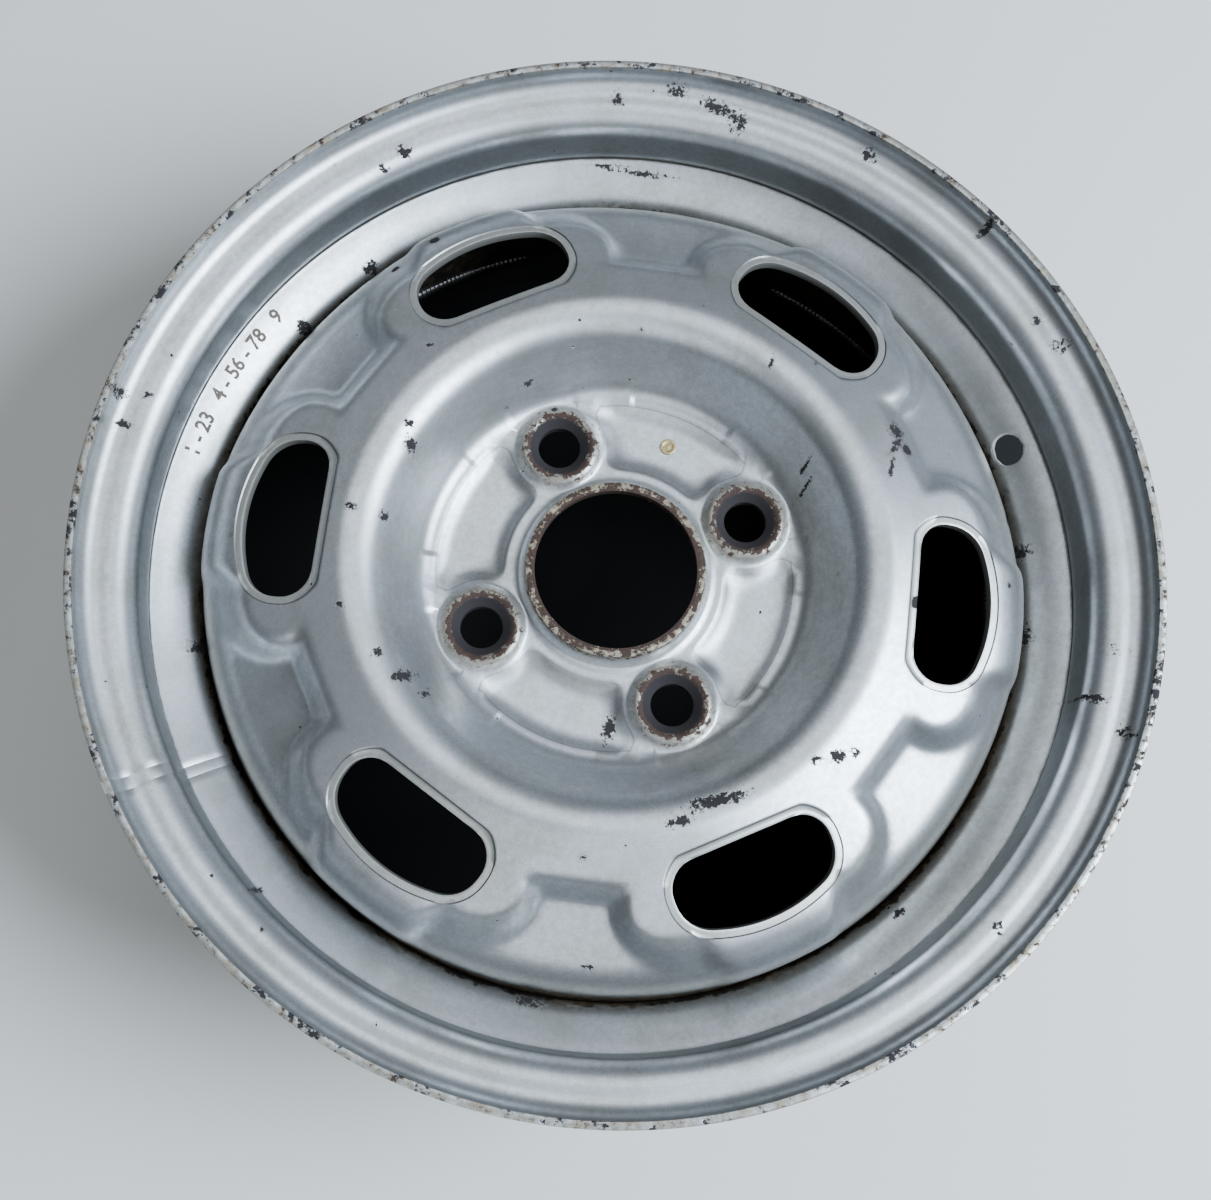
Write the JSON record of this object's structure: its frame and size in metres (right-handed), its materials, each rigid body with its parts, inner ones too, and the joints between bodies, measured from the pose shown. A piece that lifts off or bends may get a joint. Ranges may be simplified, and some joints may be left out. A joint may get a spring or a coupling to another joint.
{
  "type": "pressed steel road wheel",
  "caption": "Pressed steel car wheel without a tyre: rolled rim with flanges and a dished, ventilated centre disc, silver paint with rust and chips.",
  "frame": {"origin": "on the wheel's axis, in the plane of the hub mounting pads", "axes": "+Z along the wheel's axis, outboard; +X through the bolt hole nearest the valve hole"},
  "size_m": [0.364, 0.364, 0.15],
  "materials": {
    "rim_paint": "weathered silver paint over rolled steel, with fine streaks, chips and rust at the edges",
    "seam_paint": "silver paint over a scarfed butt weld",
    "disc_paint": "weathered silver paint over pressed steel, with chips and rusty bolt seats and bore",
    "weld_paint": "rusting paint over rippled arc-weld beads"
  },
  "bodies": {
    "root": {"rim_hoop": "rim_paint", "rim_seam_weld": "seam_paint", "wheel_disc": "disc_paint", "disc_weld_1": "weld_paint", "disc_weld_2": "weld_paint", "disc_weld_3": "weld_paint", "disc_weld_4": "weld_paint", "disc_weld_5": "weld_paint", "disc_weld_6": "weld_paint"}
  },
  "joints": []
}
